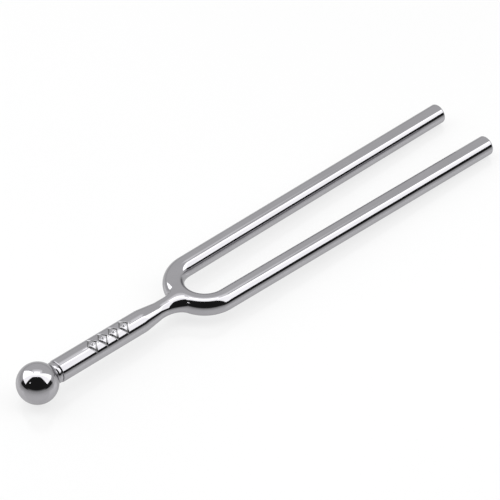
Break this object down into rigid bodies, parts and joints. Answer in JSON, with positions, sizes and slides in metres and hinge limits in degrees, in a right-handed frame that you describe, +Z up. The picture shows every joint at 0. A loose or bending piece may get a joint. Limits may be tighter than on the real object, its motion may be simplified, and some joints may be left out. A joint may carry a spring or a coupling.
{
  "type": "tuning fork",
  "caption": "U-shaped tuning fork of bright-plated round bar, on a necked stem with engraved lozenges and a ball foot.",
  "frame": {"origin": "on the surface that the fork lies on, below the middle of its bounding box", "axes": "+X along the fork, towards the prong ends; +Y towards the left prong; +Z up, across the fork's flat side. The fork rests on its ball and on both prong ends, so its own axis falls by 1 degree towards the prong ends."},
  "size_m": [0.1359, 0.0214, 0.0095],
  "materials": {
    "bright_plate": "mirror-bright plating over steel"
  },
  "bodies": {
    "handle": {"yoke": "bright_plate", "stem": "bright_plate", "ball_foot": "bright_plate"},
    "left_prong": {"left_prong": "bright_plate"},
    "right_prong": {"right_prong": "bright_plate"}
  },
  "joints": [
    {"name": "left_prong_flex", "type": "hinge", "parent": "handle", "child": "left_prong", "pos_m": [-0.0103, 0.00726, 0.00384], "axis": [0.0172, 0, 0.9999], "range_deg": [-0.4, 0.4], "stiffness_Nm_per_rad": 188},
    {"name": "right_prong_flex", "type": "hinge", "parent": "handle", "child": "right_prong", "pos_m": [-0.0103, -0.00726, 0.00384], "axis": [0.0172, 0, 0.9999], "range_deg": [-0.4, 0.4], "stiffness_Nm_per_rad": 188}
  ],
  "couplings": [
    {"joint": "right_prong_flex", "follows": "left_prong_flex", "ratio": -1}
  ]
}
